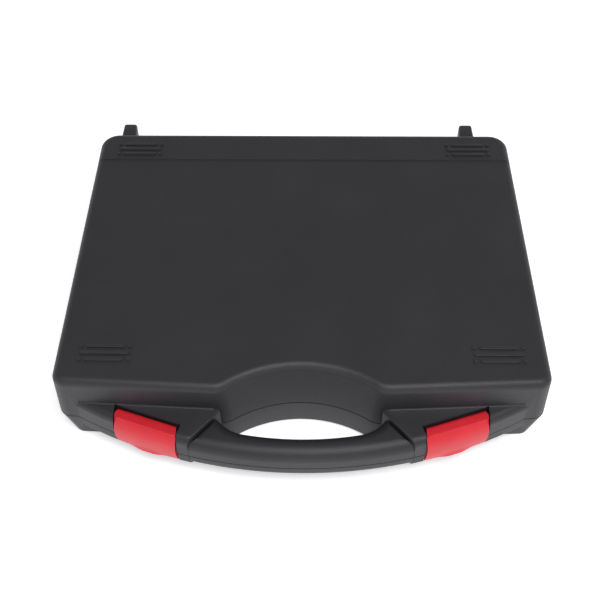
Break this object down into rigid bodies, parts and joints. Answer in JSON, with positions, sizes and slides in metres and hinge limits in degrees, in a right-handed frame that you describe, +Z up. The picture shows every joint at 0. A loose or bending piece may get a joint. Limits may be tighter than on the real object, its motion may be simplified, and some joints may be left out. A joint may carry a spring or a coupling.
{
  "type": "socket wrench set in case",
  "caption": "Flat charcoal carrying case with a fixed handle, two red latches and a hinged deep lid, holding a ratchet, extension bars and sockets in foam.",
  "frame": {"origin": "middle of the closed case's footprint, on the plane it lies on", "axes": "+X along the case's width, to the right as seen from the handle; +Y from the handle towards the hinges; +Z up out of the lid of the case lying flat"},
  "size_m": [0.279, 0.256, 0.0544],
  "materials": {
    "charcoal_shell": "spark-eroded satin polypropylene",
    "red_latch": "fine satin moulded plastic",
    "steel_pin": "plain drawn wire",
    "red_foam": "cut closed-cell foam",
    "black_foam": "cut foam",
    "socket_chrome": "satin chrome",
    "dark_steel": "phosphated steel",
    "black_grip": "matte soft grip",
    "red_cap": "satin moulded plastic"
  },
  "bodies": {
    "case_base": {"lower_shell": "charcoal_shell", "handle_lower_half": "charcoal_shell", "hinge_pin_left": "steel_pin", "hinge_pin_right": "steel_pin", "tray_foam_lower": "red_foam", "tray_foam_upper": "black_foam", "extension_bar_150": "socket_chrome", "extension_bar_75": "socket_chrome", "socket_8mm": "socket_chrome", "socket_9mm": "socket_chrome", "socket_10mm": "socket_chrome", "socket_11mm": "socket_chrome", "socket_12mm": "socket_chrome", "socket_13mm": "socket_chrome", "socket_14mm": "socket_chrome", "socket_15mm": "socket_chrome", "socket_16mm": "socket_chrome", "socket_17mm": "socket_chrome", "socket_18mm": "socket_chrome", "socket_19mm": "socket_chrome", "ratchet_body": "socket_chrome", "ratchet_cover": "socket_chrome", "cover_screw_front": "dark_steel", "cover_screw_rear": "dark_steel", "ratchet_grip": "black_grip", "grip_end_cap": "red_cap"},
    "lid": {"upper_shell": "charcoal_shell", "handle_upper_half": "charcoal_shell", "lid_foam": "black_foam", "latch_pin_left": "steel_pin", "latch_pin_right": "steel_pin"},
    "left_latch": {"latch_left": "red_latch"},
    "right_latch": {"latch_right": "red_latch"},
    "ratchet_drive": {"drive_gear": "dark_steel"},
    "drive_button": {"release_button": "dark_steel"},
    "reverser": {"reversing_lever": "dark_steel", "pawl": "dark_steel"}
  },
  "joints": [
    {"name": "lid_hinge", "type": "hinge", "parent": "case_base", "child": "lid", "pos_m": [0, 0.1182, 0.0195], "axis": [-1, 0, 0], "range_deg": [0, 105]},
    {"name": "latch_left_hinge", "type": "hinge", "parent": "lid", "child": "left_latch", "pos_m": [-0.08601, -0.10576, 0.031], "axis": [-0.9455, 0.3256, 0], "range_deg": [0, 95]},
    {"name": "latch_right_hinge", "type": "hinge", "parent": "lid", "child": "right_latch", "pos_m": [0.08601, -0.10576, 0.031], "axis": [-0.9455, -0.3256, 0], "range_deg": [0, 95]},
    {"name": "ratchet_drive_spin", "type": "hinge", "parent": "case_base", "child": "ratchet_drive", "pos_m": [-0.086, 0.086, 0.017], "axis": [0, 0, 1], "continuous": true},
    {"name": "drive_button_press", "type": "slide", "parent": "ratchet_drive", "child": "drive_button", "axis": [0, 0, -1], "range_m": [0, 0.0018], "stiffness_N_per_m": 400, "springref_m": -0.002},
    {"name": "reversing_lever_turn", "type": "hinge", "parent": "case_base", "child": "reverser", "pos_m": [-0.0665, 0.086, 0.0225], "axis": [0, 0, 1], "range_deg": [0, 32]}
  ]
}
